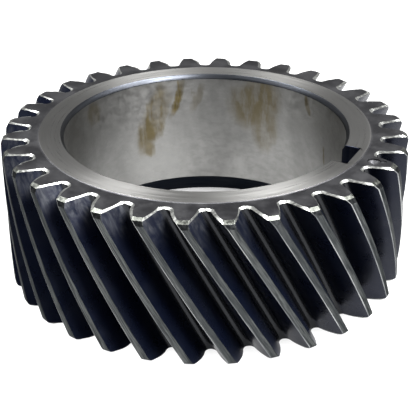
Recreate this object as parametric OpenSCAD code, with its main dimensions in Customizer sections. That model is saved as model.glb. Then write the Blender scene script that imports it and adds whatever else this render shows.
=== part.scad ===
// Helical ring gear with a keyed bore, cut from one steel forging.
// Frame: origin on the bore axis in the plane of the lower hub face, +Z along
// the axis, and the keyway on the +X side.

/* [Teeth] */
// Number of teeth
teeth = 32; // [32:1:48]
// Normal module
normal_module = 4; // [4:0.25:6]
// Helix angle at the pitch circle, left hand (degrees)
helix_angle = 28.8; // [28:0.1:35]
// Normal pressure angle (degrees)
pressure_angle = 20; // [14.5:0.5:22]
// Height of a tooth above the pitch circle, in modules
addendum = 1.18; // [1:0.01:1.25]
// Depth of a gap below the pitch circle, in modules
dedendum = 1.35; // [1.1:0.01:1.4]
// Width of the toothed rim
face_w = 56.5; // [30:0.5:80]
// Angle from the keyway to the nearest tooth at the upper face (degrees)
tooth_offset = -1; // [-5:0.25:5]

/* [Hub] */
// Diameter of the bore
bore_d = 108; // [80:1:112]
// Width of the lead-in chamfer at the upper mouth of the bore
lead_in = 1.2; // [0.5:0.1:1.5]
// Length of that chamfer along the axis
lead_in_h = 1.8; // [0.5:0.1:4]
// Width of the relief at the lower mouth, which clears the shaft's shoulder radius
relief = 5.5; // [1:0.5:6]
// Length of that relief along the axis
relief_h = 8.5; // [2:0.5:15]
// Diameter of the turned hub faces
hub_d = 127; // [124:0.5:131]
// How far each hub face stands proud of the rim
hub_rise = 0.25; // [0.15:0.05:1]

/* [Keyway] */
// Width of the keyway
key_w = 14; // [8:1:20]
// Depth of the keyway below the bore wall
key_depth = 6.5; // [3:0.1:7]

/* [Edges] */
// Height of the ground bevel that follows the tooth outline on both faces
bevel_h = 0.8; // [0.4:0.1:1.6]
// Height of that bevel along the obtuse flank of a tooth
bevel_obtuse_h = 0.4; // [0.2:0.1:0.9]
// Width of that bevel across a tooth tip
bevel_tip = 2.4; // [0.5:0.1:2.6]
// Width of that bevel across a tooth root
bevel_root = 0.9; // [0.3:0.1:1.6]
// Width of that bevel along the acute flank of a tooth
bevel_acute = 0.6; // [0.2:0.05:1]
// Width of that bevel along the obtuse flank of a tooth
bevel_obtuse = 0.15; // [0:0.05:0.6]
// Chamfer of the outside diameter next to each bevel
tip_chamfer = 0.9; // [0:0.05:1.2]
// Length of that chamfer along the axis
tip_chamfer_h = 1.7; // [0.5:0.1:3]

/* [Timing mark] */
// Diameter of the drilled timing mark
mark_d = 4.6; // [2:0.1:5]
// Diameter of the small punch mark beside it
punch_d = 1.8; // [1:0.1:2.5]

/* [Hidden] */
$fn = 96;
eps = 0.01;

// Tooth geometry in the plane of rotation
pitch_r = normal_module * teeth / cos(helix_angle) / 2;
tip_r = pitch_r + addendum * normal_module;
root_r = pitch_r - dedendum * normal_module;
face_pressure_angle = atan(tan(pressure_angle) / cos(helix_angle));
base_r = pitch_r * cos(face_pressure_angle);
tooth_pitch = 360 / teeth;

// Heights along the axis
hub_len = face_w + 2 * hub_rise;
rim_top = hub_rise + face_w;
twist_per_mm = tan(helix_angle) / pitch_r * 180 / PI;
helix_steps = 6;

// Steps of the tooth outline
fillet_steps = 2;
flank_steps = 3;

// Bore, keyway and mark
bore_r = bore_d / 2;
key_floor_r = bore_r + key_depth;
mark_r = root_r + 0.9;
mark_angle = 0.4;
mark_depth = 0.2;
mark_point_angle = 118;
punch_r = root_r + 4.2;
punch_angle = 1.4;
punch_depth = 0.6;

// Involute function of a pressure angle, in degrees
function involute(a) = tan(a) * 180 / PI - a;

// Pressure angle of the flank at a radius
function flank_angle(r) = acos(min(1, base_r / r));

// Half of the tooth's thickness at a radius, as an angle
function half_tooth(r) =
    90 / teeth + involute(face_pressure_angle) - involute(flank_angle(r));

// Half of the gap between two teeth at a radius, as an angle
function half_gap(r) = tooth_pitch / 2 - half_tooth(r);

// Slope of the flank away from the middle line of the gap
function gap_slope(r) = half_gap(r) + flank_angle(r);

// Radius of the round that touches both flanks of a gap at radius r
function round_at(r) = r * sin(half_gap(r)) / cos(gap_slope(r));

// How far below the true root that round would reach
function round_error(r) =
    r * cos(half_gap(r)) - round_at(r) * (1 - sin(gap_slope(r))) - root_r;

// Radius at which the full root round meets the flanks, by halving an interval
function meet_r(lo, hi, n) =
    n == 0 ? (lo + hi) / 2
    : round_error((lo + hi) / 2) > 0 ? meet_r(lo, (lo + hi) / 2, n - 1)
    : meet_r((lo + hi) / 2, hi, n - 1);

halvings = 30;
fillet_end_r = meet_r(root_r, pitch_r, halvings);
fillet_r = round_at(fillet_end_r);
fillet_sweep = 90 - gap_slope(fillet_end_r);

// One side of a gap, from its lowest point to the tooth tip, as [radius, angle
// from the middle of the gap]; the tip is held at radius tip
function gap_side(tip) = concat(
    [for (i = [0:fillet_steps])
        let (a = fillet_sweep * i / fillet_steps,
             x = fillet_r * sin(a),
             y = root_r + fillet_r * (1 - cos(a)))
        [norm([x, y]), atan2(x, y)]],
    [for (i = [1:flank_steps])
        let (r = fillet_end_r + (tip - fillet_end_r) * i / flank_steps)
        [r, half_gap(r)]]
);

// The bevel moves a point of the outline towards the axis and into the tooth
function bevelled(p, side_bevel) =
    let (t = (p[0] - root_r) / (tip_r - root_r),
         r = p[0] - bevel_root - (bevel_tip - bevel_root) * t,
         flank = min(1, p[1] / half_gap(fillet_end_r)),
         full = r > fillet_end_r ? half_gap(r) : p[1])
    [r, full + flank * side_bevel / r * 180 / PI];

// One gap from left to right; left and right are the bevel widths of its two
// sides, and no bevel is cut where bevel is false
function gap(tip, bevel, left, right) =
    let (side = gap_side(tip), n = len(side) - 1)
    concat(
        [for (i = [n:-1:1])
            let (p = bevel ? bevelled(side[i], left) : side[i])
            [p[0], -p[1]]],
        [for (i = [0:n]) bevel ? bevelled(side[i], right) : side[i]]
    );

// Turn of the teeth at height z
function turn_at(z) = tooth_offset + twist_per_mm * (rim_top - z);

// All the gaps in one plane, as points at height z, counter-clockwise
function ring(z, tip, bevel = false, left = 0, right = 0) =
    let (outline = gap(tip, bevel, left, right))
    [for (k = [0:teeth - 1])
        for (p = outline)
            let (a = turn_at(z) + (k + 0.5) * tooth_pitch + p[1])
            [p[0] * cos(a), p[0] * sin(a), z]];

// Height of the bevel at point i of one side of a gap
function bevel_drop(i, obtuse) =
    obtuse && i >= fillet_steps && i < fillet_steps + flank_steps
        ? min(bevel_obtuse_h, bevel_h)
        : bevel_h;

// Outer edge of the bevel under the face at height level; up is 1 at the upper
// face, where the left side of a gap is the obtuse one, and -1 at the lower face
function bevel_edge(level, up) =
    let (side = gap_side(tip_r - tip_chamfer), n = len(side) - 1,
         outline = concat(
            [for (i = [n:-1:1]) [side[i][0], -side[i][1], bevel_drop(i, up > 0)]],
            [for (i = [0:n]) [side[i][0], side[i][1], bevel_drop(i, up < 0)]]))
    [for (k = [0:teeth - 1])
        for (p = outline)
            let (z = level - up * p[2],
                 a = turn_at(z) + (k + 0.5) * tooth_pitch + p[1])
            [p[0] * cos(a), p[0] * sin(a), z]];

// Side walls between rings that have n points each
function walls(n, rings) =
    [for (j = [0:rings - 2])
        for (i = [0:n - 1])
            let (a = j * n + i, b = j * n + (i + 1) % n)
            each [[a, b + n, b], [a, a + n, b + n]]];

// A flat end made as a fan around its own middle point
function cap(first, n, middle, up) =
    [for (i = [0:n - 1])
        let (a = first + i, b = first + (i + 1) % n)
        up ? [middle, b, a] : [middle, a, b]];

// The toothed rim as a solid disc
module toothed_disc() {
    low = hub_rise;
    straight_low = low + bevel_h + tip_chamfer_h;
    straight_top = rim_top - bevel_h - tip_chamfer_h;
    rings = concat(
        [ring(low, tip_r, true, bevel_acute, bevel_obtuse)],
        [bevel_edge(low, -1)],
        [for (i = [0:helix_steps])
            ring(straight_low + (straight_top - straight_low) * i / helix_steps, tip_r)],
        [bevel_edge(rim_top, 1)],
        [ring(rim_top, tip_r, true, bevel_obtuse, bevel_acute)]
    );
    n = len(rings[0]);
    count = len(rings);
    middles = [[0, 0, low], [0, 0, rim_top]];
    polyhedron(
        points = concat([for (r = rings) each r], middles),
        faces = concat(
            walls(n, count),
            cap(0, n, n * count, false),
            cap(n * (count - 1), n, n * count + 1, true)
        )
    );
}

// Bore with a lead-in at the upper mouth and a relief at the lower one
module bore_cut() {
    translate([0, 0, -1]) cylinder(r = bore_r, h = hub_len + 2);
    translate([0, 0, -eps])
        cylinder(r1 = bore_r + relief + eps, r2 = bore_r, h = relief_h + eps);
    translate([0, 0, hub_len - lead_in_h])
        cylinder(r1 = bore_r, r2 = bore_r + lead_in + eps, h = lead_in_h + eps);
}

// Keyway, open at both ends
module keyway_cut() {
    translate([bore_r / 2, -key_w / 2, -1])
        cube([key_floor_r - bore_r / 2, key_w, hub_len + 2]);
}

// Drilled mark on the tooth over the keyway, and the punch mark beside it
module timing_marks() {
    cone_h = mark_d / 2 / tan(mark_point_angle / 2);
    rotate(tooth_offset + mark_angle) translate([mark_r, 0, rim_top - mark_depth]) {
        cylinder(d = mark_d, h = mark_depth + 1);
        translate([0, 0, -cone_h]) cylinder(r1 = 0, r2 = mark_d / 2, h = cone_h);
    }
    rotate(tooth_offset + punch_angle) translate([punch_r, 0, rim_top - punch_depth])
        cylinder(d = punch_d, h = punch_depth + 1);
}

module helical_gear() {
    color([0.24, 0.25, 0.27])
        difference() {
            union() {
                toothed_disc();
                cylinder(d = hub_d, h = hub_len);
            }
            bore_cut();
            keyway_cut();
            timing_marks();
        }
}

helical_gear();
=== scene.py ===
"""Helical ring gear: one steel piece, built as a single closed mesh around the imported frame."""

import math

import bmesh
import bpy
import numpy as np
from mathutils import Matrix, Vector


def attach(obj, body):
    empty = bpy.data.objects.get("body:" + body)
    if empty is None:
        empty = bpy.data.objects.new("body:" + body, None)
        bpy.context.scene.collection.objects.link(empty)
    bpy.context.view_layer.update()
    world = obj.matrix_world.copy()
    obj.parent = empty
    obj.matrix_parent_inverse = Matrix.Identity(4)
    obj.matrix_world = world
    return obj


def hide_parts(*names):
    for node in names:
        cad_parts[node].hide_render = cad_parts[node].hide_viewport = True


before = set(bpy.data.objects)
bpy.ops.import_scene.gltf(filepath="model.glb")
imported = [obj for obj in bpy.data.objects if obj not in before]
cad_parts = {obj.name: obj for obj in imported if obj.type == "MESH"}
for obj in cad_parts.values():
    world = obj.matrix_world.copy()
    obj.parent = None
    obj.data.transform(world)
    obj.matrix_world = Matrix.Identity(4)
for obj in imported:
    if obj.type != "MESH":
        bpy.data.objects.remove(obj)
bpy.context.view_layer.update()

MM = 0.001

# Tooth system, as in the CAD source (millimetres and degrees)
TEETH = 32
MODULE = 4.0
HELIX = math.radians(28.8)
PRESSURE = math.radians(20)
TOOTH_OFFSET = math.radians(-1)
PITCH_R = MODULE * TEETH / math.cos(HELIX) / 2
TIP_R = PITCH_R + 1.18 * MODULE
ROOT_R = PITCH_R - 1.35 * MODULE
FACE_PRESSURE = math.atan(math.tan(PRESSURE) / math.cos(HELIX))
BASE_R = PITCH_R * math.cos(FACE_PRESSURE)
TOOTH_PITCH = 2 * math.pi / TEETH
TWIST = math.tan(HELIX) / PITCH_R  # turn per millimetre of height

# Heights and radii of the body
FACE_W = 56.5
HUB_RISE = 0.25
HUB_LEN = FACE_W + 2 * HUB_RISE
RIM_TOP = HUB_RISE + FACE_W
BORE_R = 54.0
LEAD_IN = 1.2
LEAD_IN_H = 1.8
RELIEF = 5.5
RELIEF_H = 8.5
HUB_R = 63.5
KEY_HALF = 7.0
KEY_FLOOR = 60.5

# Ground bevel along the tooth outline, and the chamfer of the outside diameter under it
BEVEL_TIP_H = 0.8
BEVEL_OBTUSE_H = 0.5
BEVEL_ACUTE_H = 0.28
BEVEL_ROOT_H = 0.6
BEVEL_TIP = 2.4
BEVEL_ROOT = 0.9
BEVEL_ACUTE = 1.3
BEVEL_OBTUSE = 0.15
TIP_CHAMFER = 0.9
TIP_CHAMFER_H = 1.7
LAND_EDGE = 0.2  # broken edge between a land and its flanks

# Unevenness of the hand-ground bevel: share of its width and height, the waves round the gear
# that make it up, and a seed for the lower and the upper bevel
WIDTH_WANDER = (0.14, (7, 19, 43, 71), 11, 12)
HEIGHT_WANDER = (0.16, (9, 17, 31, 59), 21, 22)
# Where the bevel's height changes from root to flank to tip, as shares of the tooth depth
HEIGHT_CHANGES = (0, 0.3, 0.55, 1)
# How far below the tip corners the bevel's inner edge stays crisp, and how often the rest of
# it is rounded off
CRISP_CORNER = 0.3
ROUNDING_PASSES = 2

# Timing marks on the rim, as distance from the axis and angle from the tooth's middle
DRILLED_AT = (ROOT_R + 0.9, math.radians(0.4))
PUNCHED_AT = (ROOT_R + 4.2, math.radians(1.4))
# Their outlines as (radius, height over the rim), from above the rim to the bottom
DRILLED = [(0, 1.0), (2.5, 1.0), (2.5, 0.0), (2.42, -0.6), (1.5, -1.0), (0.5, -1.6), (0, -1.7)]
PUNCHED = [(0, 1.0), (1.1, 1.0), (1.1, 0.0), (1.05, -0.45), (0.5, -0.6), (0, -0.62)]

# Mesh density
FILLET_STEPS = 6
FLANK_STEPS = 6
CORNER_STEPS = 3
RING_POINTS = TEETH * (2 + 2 * (FILLET_STEPS + FLANK_STEPS + CORNER_STEPS))
SIDE_RINGS = 30
BORE_RINGS = 9

# Rings along a bevel, as shares of its width: close to both edges, to hold them crisp, with
# one more ring at FACE_MARGIN inside it
BEVEL_RINGS = (0.0, 0.08, 0.92, 1.0)
FACE_MARGIN = 0.25

# Rings along the chamfer of the outside diameter, as shares of its length: rounded where it
# meets the lower bevel, and a plain facet with crisp edges at the upper one
LOWER_ROUND = (0.06, 0.18, 0.36, 0.6, 0.82)
UPPER_FACET = (0.06, 0.94)
# Painted shade: from the outer edge of the lower bevel up to this share of the lower chamfer, the teeth
# take the near-black flank steel all round, standing in for the shade near the floor.
PAINTED_SHADE_SHARE = 0.3  # share of the lower chamfer that looks like a flank

# The soft step from the dark rim up to the hub face, as (distance outside the hub's radius,
# share of the rise)
HUB_STEP = [(0.6, 0.0), (0.25, 0.05), (0.1, 0.25), (0.0, 0.6), (-0.15, 0.88), (-0.4, 1.0)]
TURNED_FROM = 0.8  # share of the rise from which the step is turned bright
HUB_INNER_R = 62.3

# The broken edge at a mouth, as (distance outside the mouth's radius, growth of the keyway):
# its start on the hub face, its middle, and its end at EDGE_DROP below the face
EDGE_START = (0.25, 0.4)
EDGE_MIDDLE = (0.07, 0.15)
EDGE_END = (-0.04, 0.06)
EDGE_DROP = 0.07
# Rings of the cone below it: depth of the first, and distances from the cone's end that keep
# the edge to the straight bore crisp
CONE_START = 0.22
CONE_END = 0.12
BORE_START = 0.08

SHARP_ANGLE = math.radians(50)

MATERIAL_ORDER = [
    "flank",
    "edge",
    "land",
    "chamfer",
    "face",
    "bevel",
    "tip_bevel",
    "hub",
    "bore",
    "lead_in",
    "relief",
    "keyway",
    "mark",
]
SLOT = {name: i for i, name in enumerate(MATERIAL_ORDER)}


# ---------------------------------------------------------------- tooth outline


def involute(angle):
    return math.tan(angle) - angle


def flank_angle(r):
    return math.acos(min(1.0, BASE_R / r))


def half_gap(r):
    """Half of the gap between two teeth at radius r, as an angle."""
    half_tooth = math.pi / 2 / TEETH + involute(FACE_PRESSURE) - involute(flank_angle(r))
    return TOOTH_PITCH / 2 - half_tooth


def round_at(r):
    """Radius of the circle that touches both flanks at radius r, and how far it misses the root."""
    slope = half_gap(r) + flank_angle(r)
    size = r * math.sin(half_gap(r)) / math.cos(slope)
    return size, r * math.cos(half_gap(r)) - size * (1 - math.sin(slope)) - ROOT_R


def root_round():
    """The full root round: where it meets the flanks, its radius, and its sweep."""
    low, high = ROOT_R, PITCH_R
    for _ in range(40):
        middle = (low + high) / 2
        if round_at(middle)[1] > 0:
            high = middle
        else:
            low = middle
    return low, round_at(low)[0], math.pi / 2 - half_gap(low) - flank_angle(low)


FILLET_END, FILLET_R, FILLET_SWEEP = root_round()


def gap_side(tip):
    """From the lowest point of a gap to the middle of the next land, as (radius, angle)."""
    points = []
    for i in range(FILLET_STEPS + 1):
        a = FILLET_SWEEP * i / FILLET_STEPS
        x, y = FILLET_R * math.sin(a), ROOT_R + FILLET_R * (1 - math.cos(a))
        points.append((math.hypot(x, y), math.atan2(x, y)))
    last = tip - LAND_EDGE
    for i in range(1, FLANK_STEPS + 1):
        r = FILLET_END + (last - FILLET_END) * i / FLANK_STEPS
        points.append((r, half_gap(r)))
    start = np.array([last, half_gap(last)])
    corner = np.array([tip, half_gap(tip)])
    end = np.array([tip, half_gap(tip) + LAND_EDGE * 1.1 / tip])
    for i in range(1, CORNER_STEPS + 1):
        t = i / CORNER_STEPS
        p = (1 - t) ** 2 * start + 2 * t * (1 - t) * corner + t * t * end
        points.append((p[0], p[1]))
    points.append((tip, TOOTH_PITCH / 2))
    return points


def gap_outline(tip):
    """One pitch of the outline, from the middle of one land up to the next one."""
    side = gap_side(tip)
    left = [(r, -a) for r, a in reversed(side[1:])]
    return np.array(left + side[:-1])


def ease(values, passes):
    """Rounds off a closed row of numbers."""
    for _ in range(passes):
        values = (np.roll(values, 1, 0) + 2 * values + np.roll(values, -1, 0)) / 4
    return values


def wander(angle, seed, waves):
    """Slow unevenness round the gear, between about -1 and 1, the sum of the given waves."""
    rng = np.random.default_rng(seed)
    total = sum(np.sin(n * angle + rng.uniform(0, 6.28)) for n in waves)
    return total / len(waves) * 1.4


def outline_ring(tip=TIP_R):
    """The whole outline in polar form with no twist, starting at the first land."""
    part = gap_outline(tip)
    r = np.tile(part[:, 0], TEETH)
    a = np.concatenate([part[:, 1] + (k + 0.5) * TOOTH_PITCH for k in range(TEETH)])
    return r, a


def bevelled_ring(left, right, seed):
    """The inner edge of the bevel, as polar rows: the outline moved towards the axis and into
    the teeth, by the bevel's width on the left and right flanks of a gap."""
    part = gap_outline(TIP_R)
    land_start = half_gap(TIP_R)
    rows = []
    for r0, a0 in part:
        t = (r0 - ROOT_R) / (TIP_R - ROOT_R)
        r = r0 - BEVEL_ROOT - (BEVEL_TIP - BEVEL_ROOT) * t
        side = abs(a0)
        width = right if a0 > 0 else left
        inner = max(half_gap(r) if r > FILLET_END else side, min(side, half_gap(FILLET_END)))
        a = inner + min(1, side / half_gap(FILLET_END)) * width / r
        if side > land_start:  # on the land, between the two corners
            corner = half_gap(TIP_R - BEVEL_TIP) + width / r
            share = (side - land_start) / (TOOTH_PITCH / 2 - land_start)
            a = corner + (TOOTH_PITCH / 2 - corner) * share
        rows.append((r, math.copysign(a, a0)))
    rows = np.array(rows)
    r = np.tile(rows[:, 0], TEETH)
    a = np.concatenate([rows[:, 1] + (k + 0.5) * TOOTH_PITCH for k in range(TEETH)])
    r0, a0 = outline_ring()
    flat = np.stack([r * np.cos(a), r * np.sin(a)], 1)
    crisp = np.tile(rows[:, 0] > TIP_R - BEVEL_TIP - CRISP_CORNER, TEETH)
    flat = np.where(crisp[:, None], flat, ease(flat, ROUNDING_PASSES))
    outer = np.stack([r0 * np.cos(a0), r0 * np.sin(a0)], 1)
    uneven = 1 + WIDTH_WANDER[0] * wander(a, seed, WIDTH_WANDER[1])
    flat = outer + (flat - outer) * uneven[:, None]
    return np.hypot(flat[:, 0], flat[:, 1]), np.unwrap(np.arctan2(flat[:, 1], flat[:, 0]))


def bevel_drops(left, right, seed):
    """Height of the bevel at each point of the outline, from its heights along both flanks."""
    part = gap_outline(TIP_R)
    share = (part[:, 0] - ROOT_R) / (TIP_R - ROOT_R)
    sides = [
        np.interp(share, HEIGHT_CHANGES, (BEVEL_ROOT_H, flank, flank, BEVEL_TIP_H))
        for flank in (left, right)
    ]
    drop = np.tile(np.where(part[:, 1] > 0, sides[1], sides[0]), TEETH)
    return drop * (1 + HEIGHT_WANDER[0] * wander(outline_ring()[1], seed, HEIGHT_WANDER[1]))


def place(r, a, z):
    """Points from polar rows, with the twist of the helix at each height."""
    turn = a + TOOTH_OFFSET + TWIST * (RIM_TOP - z)
    z = np.broadcast_to(z, r.shape)
    return np.stack([r * np.cos(turn), r * np.sin(turn), z], 1)


# ---------------------------------------------------------------- round loops


def circle(r, z):
    a = np.arange(RING_POINTS) * 2 * math.pi / RING_POINTS
    return np.stack([r * np.cos(a), r * np.sin(a), np.full(RING_POINTS, z)], 1)


KEY_FLOOR_POINTS = 10
KEY_CORNER_POINTS = 4
KEY_WALL_POINTS = 12
KEY_POINTS = KEY_FLOOR_POINTS + KEY_CORNER_POINTS + KEY_WALL_POINTS


def keyed_loop(r, z, grow=0.0):
    """A circle of radius r that follows the keyway's walls round +X."""
    half, floor, corner = KEY_HALF + grow, KEY_FLOOR + grow, 0.5
    mouth_x = math.sqrt(r * r - half * half)
    side = [(floor, (half - corner) * i / KEY_FLOOR_POINTS) for i in range(KEY_FLOOR_POINTS)]
    for i in range(KEY_CORNER_POINTS):
        t = math.pi / 2 * i / (KEY_CORNER_POINTS - 1)
        x = floor - corner * (1 - math.cos(t))
        side.append((x, half - corner * (1 - math.sin(t))))
    for i in range(1, KEY_WALL_POINTS + 1):
        t = i / KEY_WALL_POINTS
        side.append((floor - corner + (mouth_x - floor + corner) * t, half))
    start = math.asin(half / r)
    count = RING_POINTS - 2 * len(side) + 1
    rest = [start + (2 * math.pi - 2 * start) * i / (count + 1) for i in range(1, count + 1)]
    points = side + [(r * math.cos(a), r * math.sin(a)) for a in rest]
    points += [(x, -y) for x, y in reversed(side[1:])]
    flat = np.array(points)
    return np.column_stack([flat, np.full(len(flat), z)])


# ---------------------------------------------------------------- the whole body


def rim_rings(align):
    """Rings up the toothed side, from the lower face to the upper one. Each ring carries the
    name of the band that follows it."""
    full = np.array(outline_ring())
    ends = np.array(outline_ring(TIP_R - TIP_CHAMFER))
    rows = []

    def add(polar, z, band):
        rows.append((np.roll(place(polar[0], polar[1], z), align, 0), band))

    def bevel(inner, level, out, drop):
        """The rings of one bevel from its inner edge outwards, as (polar rows, height). It
        drops from its level towards the middle of the gear, which out says: 1 is the upper."""
        inner = np.array(inner)
        made = [(inner - [[FACE_MARGIN], [0]], np.full(RING_POINTS, level))]
        for t in BEVEL_RINGS:
            made.append((inner + (ends - inner) * t, level - out * drop * t))
        return made

    low_drop = bevel_drops(BEVEL_ACUTE_H, BEVEL_OBTUSE_H, HEIGHT_WANDER[2])
    high_drop = bevel_drops(BEVEL_OBTUSE_H, BEVEL_ACUTE_H, HEIGHT_WANDER[3])
    low_inner = bevelled_ring(BEVEL_ACUTE, BEVEL_OBTUSE, WIDTH_WANDER[2])
    high_inner = bevelled_ring(BEVEL_OBTUSE, BEVEL_ACUTE, WIDTH_WANDER[3])
    low = bevel(low_inner, HUB_RISE, -1, low_drop)
    high = bevel(high_inner, RIM_TOP, 1, high_drop)
    start, stop = HUB_RISE + low_drop, RIM_TOP - high_drop
    first, last = start + TIP_CHAMFER_H, stop - TIP_CHAMFER_H
    # Painted shade: the band after the lower bevel, and the lowest rings of the chamfer above it, carry
    # the dark flank steel.
    for row, band in zip(low, ("face", "bevel", "bevel", "bevel", "low_end")):
        add(*row, band)
    for t in LOWER_ROUND:
        height = start + TIP_CHAMFER_H * t
        band = "low_end" if t < PAINTED_SHADE_SHARE else "side"
        add(ends + (full - ends) * math.sqrt(1 - (1 - t) ** 2), height, band)
    for i in range(SIDE_RINGS + 1):
        add(full, first + (last - first) * i / SIDE_RINGS, "side")
    for t in UPPER_FACET:
        add(full + (ends - full) * t, last + TIP_CHAMFER_H * t, "chamfer")
    for row, band in zip(reversed(high), ("bevel", "bevel", "bevel", "face", "face")):
        add(*row, band)
    return rows


def hub_rings(mouth):
    """Rings of a hub face from the dark rim in to the edge of its mouth."""
    rows = []
    for out, share in HUB_STEP:
        points = circle(HUB_R + out, RIM_TOP + HUB_RISE * share)
        rows.append((points, "hub" if share > TURNED_FROM else "face"))
    rows.append((circle(HUB_INNER_R, HUB_LEN), "hub"))
    for (out, grow), band in ((EDGE_START, "hub"), (EDGE_MIDDLE, "lead_in")):
        rows.append((keyed_loop(mouth + out, HUB_LEN, grow), band))
    return rows


def mouth_rings(mouth, length):
    """Rings of the cone at a mouth, from the hub face into the straight bore."""
    slope = (mouth - BORE_R) / length
    rows = [keyed_loop(mouth + EDGE_END[0], HUB_LEN - EDGE_DROP, EDGE_END[1])]
    for depth in (CONE_START, length / 2, length - CONE_END):
        rows.append(keyed_loop(mouth - slope * depth, HUB_LEN - depth))
    rows.append(keyed_loop(BORE_R, HUB_LEN - length - BORE_START))
    return rows


def body_rings():
    """Every ring of the gear in order: up the teeth, in over the face, down the bore and out
    again. Also how far the outline is rolled, and the roll that closes the last band."""
    step = 2 * math.pi / RING_POINTS
    align = round((outline_ring()[1][0] + TOOTH_OFFSET) / step) % RING_POINTS
    rings = rim_rings(align) + hub_rings(BORE_R + LEAD_IN)
    rings += [(points, "lead_in") for points in mouth_rings(BORE_R + LEAD_IN, LEAD_IN_H)[:-1]]
    high, low = HUB_LEN - LEAD_IN_H - BORE_START, RELIEF_H + BORE_START
    for i in range(BORE_RINGS):
        rings.append((keyed_loop(BORE_R, high + (low - high) * i / BORE_RINGS), "bore"))
    lower = [(points, "relief") for points in reversed(mouth_rings(BORE_R + RELIEF, RELIEF_H))]
    hub = hub_rings(BORE_R + RELIEF)
    bands = [band for _, band in reversed(hub[:-1])] + ["face"]
    lower += [(points, band) for (points, _), band in zip(reversed(hub), bands)]
    rings += [(points * (1, 1, -1) + (0, 0, HUB_LEN), band) for points, band in lower]
    start = rings[0][0][0]
    closing = round(math.atan2(start[1], start[0]) / step)
    return rings, align, closing


def band_slots(band, align):
    """Material slot of each face in one band of the mesh."""
    if band == "bevel":
        one = np.full(RING_POINTS // TEETH, SLOT["bevel"])
        one[: CORNER_STEPS + 1] = one[-CORNER_STEPS - 1 :] = SLOT["tip_bevel"]
        return np.roll(np.tile(one, TEETH), align)
    # Painted shade: the lowest part of the lower chamfer is near-black flank steel all round.
    if band == "low_end":
        return np.full(RING_POINTS, SLOT["flank"])
    if band not in ("side", "chamfer"):
        slots = np.full(RING_POINTS, SLOT[band])
        if band in ("lead_in", "bore", "relief"):
            slots[: KEY_POINTS - 1] = SLOT["keyway"]
            slots[1 - KEY_POINTS :] = SLOT["keyway"]
        return slots
    one = np.full(RING_POINTS // TEETH, SLOT["flank"])
    one[: CORNER_STEPS + 1] = one[-1] = SLOT["land" if band == "side" else "chamfer"]
    one[-CORNER_STEPS - 1 : -1] = SLOT["edge"]
    return np.roll(np.tile(one, TEETH), align)


def build_body():
    """The closed mesh of the whole gear, before the timing marks are drilled."""
    rings, align, closing = body_rings()
    n = RING_POINTS
    points = np.concatenate([ring for ring, _ in rings]) * MM
    index = np.arange(n)
    after = (index + 1) % n
    quads, slots = [], []
    for j, (_, band) in enumerate(rings):
        roll = 0 if j < len(rings) - 1 else closing
        base, top = j * n, (j + 1) % len(rings) * n
        upper, upper_after = top + (index - roll) % n, top + (after - roll) % n
        quads.append(np.stack([base + index, base + after, upper_after, upper], 1))
        slots.append(band_slots(band, align))
    mesh = bpy.data.meshes.new("gear_body")
    mesh.from_pydata(points.tolist(), [], np.concatenate(quads).tolist())
    mesh.polygons.foreach_set("material_index", np.concatenate(slots).astype(np.int32))
    mesh.polygons.foreach_set("use_smooth", np.ones(len(mesh.polygons), bool))
    mesh.update()
    piece = bpy.data.objects.new("gear_body", mesh)
    bpy.context.scene.collection.objects.link(piece)
    return piece


def revolve(name, outline, centre, sides=48):
    """A closed turned solid about a vertical axis, from (radius, height) rows, top to bottom."""
    bm = bmesh.new()
    rings = []
    for r, z in outline:
        if r == 0:
            rings.append([bm.verts.new((centre[0], centre[1], z))])
            continue
        turn = [2 * math.pi * i / sides for i in range(sides)]
        ring = [(centre[0] + r * math.cos(t), centre[1] + r * math.sin(t), z) for t in turn]
        rings.append([bm.verts.new(p) for p in ring])
    for upper, lower in zip(rings, rings[1:]):
        for i in range(sides):
            k = (i + 1) % sides
            if len(upper) == 1:
                bm.faces.new((upper[0], lower[i], lower[k]))
            elif len(lower) == 1:
                bm.faces.new((upper[k], upper[i], lower[0]))
            else:
                bm.faces.new((upper[k], upper[i], lower[i], lower[k]))
    for face in bm.faces:
        face.smooth = True
    bmesh.ops.recalc_face_normals(bm, faces=bm.faces)
    mesh = bpy.data.meshes.new(name)
    bm.to_mesh(mesh)
    bm.free()
    solid = bpy.data.objects.new(name, mesh)
    bpy.context.scene.collection.objects.link(solid)
    return solid


def drill(piece, marks):
    """Cuts each turned solid out of the piece and removes it."""
    for solid in marks:
        solid.data.materials.append(piece.data.materials[SLOT["mark"]])
        cut = piece.modifiers.new("cut", "BOOLEAN")
        cut.operation = "DIFFERENCE"
        cut.solver = "EXACT"
        cut.object = solid
        bpy.context.view_layer.objects.active = piece
        bpy.ops.object.modifier_apply(modifier=cut.name)
        bpy.data.objects.remove(solid)


def timing_marks():
    """The drilled mark over the keyway and the punch mark beside it, as solids to cut away."""
    def at(radius, angle):
        turn = TOOTH_OFFSET + angle
        return radius * MM * math.cos(turn), radius * MM * math.sin(turn)

    top = RIM_TOP * MM
    return [
        revolve("drilled", [(r * MM, top + z * MM) for r, z in DRILLED], at(*DRILLED_AT)),
        revolve("punched", [(r * MM, top + z * MM) for r, z in PUNCHED], at(*PUNCHED_AT)),
    ]


# ---------------------------------------------------------------- materials

# Middle of the side where the flanks are scuffed, as an angle round the axis from the keyway,
# and where the scuffs start and are full, as distances below the upper rim face
SCUFFED_SIDE = -97.5
SCUFF_START = 13
SCUFF_FULL = 2

# How far a stain's edge wanders, in degrees round the axis and in millimetres of height
STAIN_WOBBLE_TURN = 9.0
STAIN_WOBBLE_UP = 10.0


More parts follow.
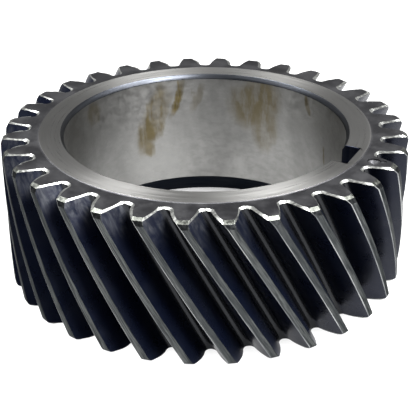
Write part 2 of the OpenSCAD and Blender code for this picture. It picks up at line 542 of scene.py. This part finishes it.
class Graph:
    """One node material, with short calls for the nodes that the steels share."""

    def __init__(self, name, color, metallic, roughness, anisotropy=0.0):
        self.material = bpy.data.materials.new(name)
        self.material.use_nodes = True
        self.tree = self.material.node_tree
        self.shader = self.tree.nodes["Principled BSDF"]
        self.shader.inputs["Base Color"].default_value = (*color, 1)
        self.shader.inputs["Metallic"].default_value = metallic
        self.shader.inputs["Roughness"].default_value = roughness
        self.shader.inputs["Anisotropic"].default_value = anisotropy
        self.position = self.add("ShaderNodeTexCoord").outputs["Object"]

    def add(self, kind, inputs=None, **settings):
        node = self.tree.nodes.new(kind)
        for key, value in settings.items():
            setattr(node, key, value)
        for key, value in (inputs or {}).items():
            if isinstance(value, bpy.types.NodeSocket):
                self.tree.links.new(value, node.inputs[key])
            else:
                node.inputs[key].default_value = value
        return node

    def to_shader(self, name, socket):
        self.tree.links.new(socket, self.shader.inputs[name])

    def math(self, operation, a, b=0.0, c=0.0):
        return self.add("ShaderNodeMath", {0: a, 1: b, 2: c}, operation=operation).outputs[0]

    def scaled(self, vector, scale):
        return self.add("ShaderNodeVectorMath", {0: vector, 1: scale}, operation="MULTIPLY").outputs[0]

    def noise(self, vector, scale, detail=3.0, roughness=0.55, distortion=0.0):
        inputs = {"Vector": vector, "Scale": scale, "Detail": detail, "Roughness": roughness}
        inputs["Distortion"] = distortion
        return self.add("ShaderNodeTexNoise", inputs).outputs["Fac"]

    def between(self, value, low, high, to_low=0.0, to_high=1.0):
        """value from low..high mapped smoothly to to_low..to_high."""
        inputs = {"Value": value, "From Min": low, "From Max": high}
        inputs.update({"To Min": to_low, "To Max": to_high})
        return self.add("ShaderNodeMapRange", inputs, interpolation_type="SMOOTHSTEP").outputs["Result"]

    def mix(self, factor, a, b):
        """Colour a where factor is 0 and b where it is 1."""
        node = self.add("ShaderNodeMix", data_type="RGBA")
        for socket, value in ((node.inputs[0], factor), (node.inputs[6], a), (node.inputs[7], b)):
            if isinstance(value, bpy.types.NodeSocket):
                self.tree.links.new(value, socket)
            elif isinstance(value, tuple):
                socket.default_value = (*value, 1)
            else:
                socket.default_value = value
        return node.outputs[2]

    def bump(self, height, strength, distance):
        inputs = {"Height": height, "Strength": strength, "Distance": distance}
        if self.shader.inputs["Normal"].is_linked:
            inputs["Normal"] = self.shader.inputs["Normal"].links[0].from_socket
        self.to_shader("Normal", self.add("ShaderNodeBump", inputs).outputs[0])

    def lathe_marks(self):
        """Stretches highlights across circular tool marks."""
        tangent = self.add("ShaderNodeTangent", direction_type="RADIAL", axis="Z")
        self.to_shader("Tangent", tangent.outputs[0])
        self.shader.inputs["Anisotropic Rotation"].default_value = 0.25

    def xyz(self):
        node = self.add("ShaderNodeSeparateXYZ", {0: self.position})
        return node.outputs[0], node.outputs[1], node.outputs[2]

    def untwisted(self):
        """The position with the helix taken out, so that a pattern can run along the teeth."""
        turn = self.math("MULTIPLY", self.xyz()[2], TWIST / MM)
        inputs = {"Vector": self.position, "Center": (0, 0, 0), "Angle": turn}
        return self.add("ShaderNodeVectorRotate", inputs, rotation_type="Z_AXIS").outputs[0]

    def along_teeth(self, stretch):
        return self.scaled(self.untwisted(), (1, 1, 1 / stretch))

    def dot(self, direction):
        inputs = {0: self.position, 1: tuple(direction)}
        return self.add("ShaderNodeVectorMath", inputs, operation="DOT_PRODUCT").outputs["Value"]

    def on_side(self, angle, low, high):
        """1 round the given angle from the keyway and 0 elsewhere, with a ragged change between
        the shares low and high of the way across."""
        a = math.radians(angle)
        share = self.math("MULTIPLY", self.dot((math.cos(a), math.sin(a), 0)), 1 / (TIP_R * MM))
        ragged = self.math("ADD", self.noise(self.along_teeth(3), 60, 3), -0.5)
        return self.between(self.math("MULTIPLY_ADD", ragged, 0.3, share), low, high)

    def dull_edges(self, level):
        """Weakens the mirror-like reflection at grazing angles."""
        self.shader.inputs["Specular Tint"].default_value = (level, level, level, 1)

    def radius(self):
        """Distance from the gear's axis."""
        flat = self.scaled(self.position, (1, 1, 0))
        return self.add("ShaderNodeVectorMath", {0: flat}, operation="LENGTH").outputs["Value"]

    def stains(self):
        """How strongly the oil stains cover a point of the bore wall."""
        x, y, z = self.xyz()
        wobble = self.noise(self.scaled(self.position, (1, 1, 0.5)), 120, 4, 0.65)
        turn = self.math("ARCTAN2", self.math("MULTIPLY", x, -1.0), y)
        turn = self.math("MULTIPLY_ADD", turn, 180 / math.pi, 90 + STAIN_WOBBLE_TURN / 2)
        turn = self.math("MULTIPLY_ADD", wobble, -STAIN_WOBBLE_TURN, turn)
        height = self.math("ADD", self.math("MULTIPLY", z, 1 / MM), STAIN_WOBBLE_UP / 2)
        height = self.math("MULTIPLY_ADD", wobble, -STAIN_WOBBLE_UP, height)
        total = 0.0
        for angle, level, half_turn, half_height, lean, strength in STAINS:
            up = self.math("SUBTRACT", height, level)
            across = self.math("MULTIPLY_ADD", up, -lean, self.math("SUBTRACT", turn, angle))
            across = self.math("MULTIPLY", across, 1 / half_turn)
            up = self.math("MULTIPLY", up, 1 / half_height)
            across = self.math("MULTIPLY", across, across)
            reach = self.math("MULTIPLY_ADD", up, up, across)
            total = self.math("MAXIMUM", total, self.between(reach, 0.25, 1.5, strength, 0.0))
        return total

    def turned(self, fine):
        """Coordinates that change quickly with radius and slowly round the axis."""
        x, y, z = self.xyz()
        radius = self.radius()
        return self.add(
            "ShaderNodeCombineXYZ",
            {
                0: self.math("DIVIDE", x, radius),
                1: self.math("DIVIDE", y, radius),
                2: self.math("MULTIPLY", radius, fine),
            },
        ).outputs[0]


def flank_steel():
    """Hobbed flanks: nearly black from heat treatment, with a painted highlight as a lighter band
    along the roots, and with dull scuffs near the upper ends on one side of the gear."""
    g = Graph("flank_steel", (0.01, 0.012, 0.02), 0.7, 0.3)
    g.shader.inputs["IOR"].default_value = 1.25
    g.dull_edges(0.75)
    cloud = g.noise(g.position, 60, 3)
    base = g.mix(g.between(cloud, 0.4, 0.7), (0.004, 0.0058, 0.0145), (0.008, 0.01, 0.018))
    # Painted highlight: a lighter band along the bottom of each root, where the fillet's highlight
    # stripe falls.
    root = g.between(g.radius(), (ROOT_R + 0.3) * MM, (ROOT_R + 1.3) * MM, 1.0, 0.0)
    base = g.mix(root, base, (0.02, 0.021, 0.023))
    start, full = (RIM_TOP - SCUFF_START) * MM, (RIM_TOP - SCUFF_FULL) * MM
    near_end = g.between(g.xyz()[2], start, full)
    smear = g.between(g.noise(g.along_teeth(1.6), 240, 5, 0.68, 1.2), 0.36, 0.7, 0.15, 1.0)
    streak = g.between(g.noise(g.along_teeth(6), 900, 3, 0.6), 0.3, 0.7, 0.4, 1.0)
    scuff = g.math("MULTIPLY", g.math("MULTIPLY", near_end, smear), streak)
    scuff = g.math("MULTIPLY", scuff, g.on_side(SCUFFED_SIDE, 0.35, 0.8))
    g.to_shader("Base Color", g.mix(scuff, base, (0.05, 0.052, 0.057)))
    rough = g.between(g.noise(g.position, 180, 4), 0.3, 0.7, 0.25, 0.36)
    rough = g.math("MULTIPLY_ADD", root, -0.1, rough)
    g.to_shader("Roughness", g.math("MULTIPLY_ADD", scuff, 0.2, rough))
    g.bump(g.noise(g.along_teeth(12), 1400, 2), 0.2, 0.00005)
    return g.material


def land_steel():
    """Turned outside diameter: grey with streaks that run along the tooth."""
    g = Graph("land_steel", (0.06, 0.063, 0.066), 1.0, 0.42)
    g.dull_edges(0.4)
    streak = g.noise(g.along_teeth(16), 2400, 4, 0.65)
    wide = g.noise(g.along_teeth(25), 320, 2)
    base = g.mix(g.between(streak, 0.36, 0.66), (0.02, 0.0222, 0.0235), (0.096, 0.101, 0.1))
    base = g.mix(g.between(wide, 0.42, 0.6, 0.0, 0.5), base, (0.028, 0.031, 0.033))
    g.to_shader("Base Color", base)
    g.to_shader("Roughness", g.between(streak, 0.3, 0.7, 0.36, 0.5))
    g.bump(streak, 0.3, 0.00006)
    return g.material


def chamfer_steel():
    """The chamfer of the outside diameter under the tip bevels, darker than the lands."""
    g = Graph("chamfer_steel", (0.02, 0.021, 0.022), 1.0, 0.42)
    g.dull_edges(0.5)
    mark = g.noise(g.position, 900, 3)
    base = g.mix(g.between(mark, 0.35, 0.7), (0.011, 0.012, 0.013), (0.035, 0.037, 0.038))
    g.to_shader("Base Color", base)
    return g.material


def edge_steel():
    """The worn corner between a land and its flanks."""
    g = Graph("edge_steel", (0.3, 0.31, 0.32), 1.0, 0.34)
    worn = g.noise(g.along_teeth(6), 320, 3)
    base = g.mix(g.between(worn, 0.4, 0.62), (0.12, 0.127, 0.132), (0.34, 0.35, 0.35))
    g.to_shader("Base Color", base)
    return g.material


def face_steel():
    """The untouched dark end face of the rim."""
    g = Graph("face_steel", (0.07, 0.07, 0.075), 1.0, 0.46)
    cloud = g.noise(g.position, 110, 5, 0.62)
    fleck = g.noise(g.position, 1300, 3)
    base = g.mix(g.between(cloud, 0.35, 0.68), (0.031, 0.031, 0.034), (0.053, 0.053, 0.056))
    base = g.mix(g.between(fleck, 0.58, 0.74, 0.0, 0.5), base, (0.095, 0.095, 0.094))
    g.to_shader("Base Color", base)
    g.to_shader("Roughness", g.between(cloud, 0.3, 0.7, 0.42, 0.52))
    g.bump(fleck, 0.25, 0.00005)
    return g.material


def ground_steel(name, dark, bright):
    """A bevel ground by hand, with fine uneven scratches: its graph and its base colour."""
    g = Graph(name, bright, 1.0, 0.36)
    mark = g.noise(g.position, 900, 3)
    g.to_shader("Roughness", g.between(mark, 0.3, 0.7, 0.3, 0.44))
    g.bump(mark, 0.15, 0.00006)
    return g, g.mix(g.between(mark, 0.35, 0.7), dark, bright)


def bevel_steel():
    """The bevel along the flanks and roots."""
    g, base = ground_steel("bevel_steel", (0.18, 0.183, 0.176), (0.26, 0.264, 0.252))
    g.to_shader("Base Color", base)
    return g.material


def tip_bevel_steel():
    """The bevel across the tooth tips, which is duller."""
    g, base = ground_steel("tip_bevel_steel", (0.04, 0.042, 0.038), (0.09, 0.093, 0.084))
    g.to_shader("Base Color", base)
    return g.material


def hub_steel():
    """The turned hub face, with concentric tool marks."""
    g = Graph("hub_steel", (0.36, 0.356, 0.345), 1.0, 0.3, 0.85)
    ring = g.noise(g.turned(900), 2.2, 4, 0.65)
    cloud = g.noise(g.position, 70, 3)
    base = g.mix(g.between(ring, 0.35, 0.7), (0.335, 0.332, 0.322), (0.38, 0.376, 0.366))
    g.to_shader("Base Color", g.mix(g.between(cloud, 0.45, 0.7, 0.0, 0.2), base, (0.3, 0.3, 0.29)))
    g.to_shader("Roughness", g.between(ring, 0.3, 0.7, 0.27, 0.33))
    g.bump(ring, 0.06, 0.00003)
    g.lathe_marks()
    return g.material


# Oil stains on the bore wall: angle round the axis from the keyway and height (degrees and
# millimetres), half sizes, lean (degrees per millimetre) and strength
STAINS = [
    (130, 47, 2.5, 9, -0.35, 1.0),
    (142.5, 38, 6.5, 15, -0.3, 0.85),
    (144.5, 25, 3.5, 4, 0.0, 0.7),
    (121.5, 47, 2.5, 7, -0.3, 0.35),
    (93.5, 46, 12, 12, -0.2, 0.75),
    (88.5, 36, 7, 12, 0.0, 0.55),
    (66, 52, 1.5, 4, 0.3, 0.9),
    (52.5, 33, 0.9, 4, 0.0, 0.9),
    (175.5, 50, 4.5, 5.5, 0.0, 0.55),
]


def bore_steel():
    """The honed bore wall, with brown oil stains."""
    g = Graph("bore_steel", (0.13, 0.13, 0.126), 1.0, 0.32, 0.7)
    fine = g.noise(g.scaled(g.position, (1, 1, 1.6)), 260, 4, 0.6)
    cloud = g.noise(g.scaled(g.position, (1, 1, 0.6)), 45, 4, 0.6, 0.4)
    base = g.mix(g.between(fine, 0.35, 0.7, 0.0, 0.3), (0.29, 0.289, 0.281), (0.12, 0.12, 0.116))
    base = g.mix(g.between(cloud, 0.35, 0.65, 0.0, 0.45), base, (0.12, 0.12, 0.116))
    streak = g.noise(g.scaled(g.position, (1, 1, 0.25)), 330, 3, 0.6)
    streak = g.between(streak, 0.35, 0.62, 0.45, 1.0)
    oil = g.math("MULTIPLY", g.stains(), streak)
    g.to_shader("Base Color", g.mix(oil, base, (0.105, 0.078, 0.022)))
    g.to_shader("Roughness", g.between(fine, 0.3, 0.7, 0.28, 0.38))
    g.bump(fine, 0.12, 0.00004)
    g.lathe_marks()
    return g.material


def lead_in_steel():
    """The lead-in chamfer of the upper mouth."""
    g = Graph("lead_in_steel", (0.1, 0.11, 0.12), 1.0, 0.34)
    mark = g.noise(g.turned(700), 3, 3)
    base = g.mix(g.between(mark, 0.35, 0.7), (0.024, 0.026, 0.03), (0.042, 0.045, 0.052))
    g.to_shader("Base Color", base)
    return g.material


def relief_steel():
    """The relief of the lower mouth, left black by heat treatment."""
    g = Graph("relief_steel", (0.004, 0.005, 0.008), 1.0, 0.4)
    g.dull_edges(0.5)
    mark = g.noise(g.turned(500), 4, 3)
    base = g.mix(g.between(mark, 0.35, 0.7), (0.006, 0.008, 0.013), (0.014, 0.016, 0.02))
    g.to_shader("Base Color", base)
    g.bump(mark, 0.2, 0.00004)
    return g.material


def keyway_steel():
    """Broached keyway walls, black with oil."""
    g = Graph("keyway_steel", (0.008, 0.01, 0.018), 1.0, 0.4)
    broach = g.noise(g.scaled(g.position, (1, 1, 0.04)), 700, 3)
    base = g.mix(g.between(broach, 0.35, 0.7), (0.007, 0.01, 0.022), (0.022, 0.025, 0.038))
    g.to_shader("Base Color", base)
    g.bump(broach, 0.3, 0.00005)
    return g.material


def mark_steel():
    """The metal inside the drilled marks."""
    g = Graph("mark_steel", (0.055, 0.055, 0.058), 1.0, 0.38)
    g.bump(g.noise(g.position, 1800, 2), 0.3, 0.00004)
    return g.material


MAKERS = {
    "flank": flank_steel,
    "edge": edge_steel,
    "land": land_steel,
    "chamfer": chamfer_steel,
    "face": face_steel,
    "bevel": bevel_steel,
    "tip_bevel": tip_bevel_steel,
    "hub": hub_steel,
    "bore": bore_steel,
    "lead_in": lead_in_steel,
    "relief": relief_steel,
    "keyway": keyway_steel,
    "mark": mark_steel,
}


# ---------------------------------------------------------------- stage


FLOOR_HALF = 4.0
# Painted shade: how brightly the floor glows on the disc inside the bore, less than elsewhere.
FLOOR_GLOW_PAINTED_SHADE = 0.22  # on the floor inside the bore, where less light comes in


def floor():
    """A wide pale floor that glows evenly round the gear, with painted shade: it glows less towards the
    axis, least on the disc inside the bore.
    """
    half = FLOOR_HALF
    mesh = bpy.data.meshes.new("floor")
    corners = [(-half, -half, 0), (half, -half, 0), (half, half, 0), (-half, half, 0)]
    mesh.from_pydata(corners, [], [(0, 1, 2, 3)])
    plane = bpy.data.objects.new("floor", mesh)
    bpy.context.scene.collection.objects.link(plane)
    g = Graph("floor_white", (0.15, 0.15, 0.15), 0.0, 0.9)
    # Painted shade: the floor glows less towards the axis, least inside the bore, and fully from the
    # pitch circle out.
    glow_with_painted_shade = g.between(g.radius(), BORE_R * MM, PITCH_R * MM, FLOOR_GLOW_PAINTED_SHADE, 1.0)
    g.shader.inputs["Emission Color"].default_value = (1, 1, 1, 1)
    g.to_shader("Emission Strength", glow_with_painted_shade)
    mesh.materials.append(g.material)


def softbox(name, azimuth, elevation, size, power):
    """A rectangular area light aimed at the gear, placed as towards() says."""
    data = bpy.data.lights.new(name, "AREA")
    data.shape = "RECTANGLE"
    data.size, data.size_y = size
    data.energy = power
    lamp = bpy.data.objects.new(name, data)
    back = towards(azimuth, elevation)
    lamp.location = back * LIGHT_DISTANCE
    lamp.rotation_mode = "QUATERNION"
    lamp.rotation_quaternion = back.to_track_quat("Z", "Y")
    bpy.context.scene.collection.objects.link(lamp)


def towards(azimuth, elevation):
    """Unit vector towards a direction given from the camera's side of the gear, in degrees."""
    a, e = math.radians(CAMERA_AZIMUTH + azimuth), math.radians(elevation)
    return Vector((math.sin(a) * math.cos(e), -math.cos(a) * math.cos(e), math.sin(e)))


# Soft bright and dark regions of the studio round the gear: azimuth and elevation, angle of
# the even middle, angle where it ends, and what it adds to the base level
BASE_LEVEL = 0.225
REGIONS = [
    (-60, 78, 12, 42, 1.0),
    (-135, 34, 8, 28, 0.8),
    (150, 20, 6, 20, 0.6),
    (100, 4, 10, 35, 0.6),
    (0, 42, 18, 40, -0.16),
    (167, 47, 4, 12, 0.5),
]


def studio_world():
    """The surroundings: a pale room with soft brighter and darker regions."""
    world = bpy.data.worlds.new("studio")
    world.use_nodes = True
    tree = world.node_tree
    background = tree.nodes["Background"]
    direction = tree.nodes.new("ShaderNodeTexCoord").outputs["Generated"]
    level = None
    for azimuth, elevation, inner, outer, strength in REGIONS:
        near = tree.nodes.new("ShaderNodeVectorMath")
        near.operation = "DOT_PRODUCT"
        tree.links.new(direction, near.inputs[0])
        near.inputs[1].default_value = towards(azimuth, elevation)
        fade = tree.nodes.new("ShaderNodeMapRange")
        fade.interpolation_type = "SMOOTHSTEP"
        tree.links.new(near.outputs["Value"], fade.inputs["Value"])
        fade.inputs["From Min"].default_value = math.cos(math.radians(outer))
        fade.inputs["From Max"].default_value = math.cos(math.radians(inner))
        fade.inputs["To Max"].default_value = strength
        total = tree.nodes.new("ShaderNodeMath")
        tree.links.new(fade.outputs["Result"], total.inputs[0])
        total.inputs[1].default_value = BASE_LEVEL
        if level is not None:
            tree.links.new(level, total.inputs[1])
        level = total.outputs[0]
    tree.links.new(level, background.inputs["Strength"])
    background.inputs["Color"].default_value = (1, 1, 1, 1)
    bpy.context.scene.world = world


# Area lights: name, azimuth and elevation, sides in metres, and power in watts
LIGHT_DISTANCE = 1.0
SOFTBOXES = [
    ("left_box", -95, 58, (0.2, 0.5), 28),
    ("front_box", 36, 52, (0.3, 0.4), 14),
    ("right_box", 70, 58, (0.7, 0.5), 47),
]


def lights():
    studio_world()
    for row in SOFTBOXES:
        softbox(*row)


# The camera, in degrees, metres and millimetres of lens. The azimuth is measured from -Y
CAMERA_AZIMUTH = 27.45
CAMERA_ELEVATION = 23.74
CAMERA_DISTANCE = 0.40807
CAMERA_AIM_DROP = 0.0359
CAMERA_AIM_SIDE = 0.00122
CAMERA_ROLL = -0.305
CAMERA_LENS = 91.34


def camera():
    """Looks at a point on the gear's axis, a little below the upper face."""
    top = Vector((0, 0, RIM_TOP * MM))
    back = towards(0, CAMERA_ELEVATION)
    side = towards(90, 0)
    place_at = top + back * CAMERA_DISTANCE
    aim = top + side * CAMERA_AIM_SIDE - Vector((0, 0, CAMERA_AIM_DROP))
    data = bpy.data.cameras.new("camera")
    data.sensor_width = 36.0
    data.lens = CAMERA_LENS
    data.clip_start, data.clip_end = 0.01, 20
    view = bpy.data.objects.new("camera", data)
    view.rotation_mode = "QUATERNION"
    turn = (place_at - aim).to_track_quat("Z", "Y")
    roll = Matrix.Rotation(math.radians(CAMERA_ROLL), 3, "Z").to_quaternion()
    view.rotation_quaternion = turn @ roll
    view.location = place_at
    bpy.context.scene.collection.objects.link(view)
    bpy.context.scene.camera = view


def main():
    scene = bpy.context.scene
    scene.view_settings.view_transform = "Standard"
    camera()
    lights()
    floor()
    body = build_body()
    for name in MATERIAL_ORDER:
        body.data.materials.append(MAKERS[name]())
    drill(body, timing_marks())
    body.data.set_sharp_from_angle(angle=SHARP_ANGLE)
    weighted = body.modifiers.new("weighted", "WEIGHTED_NORMAL")
    weighted.keep_sharp = True
    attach(body, "root")
    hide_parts("helical_gear")


main()
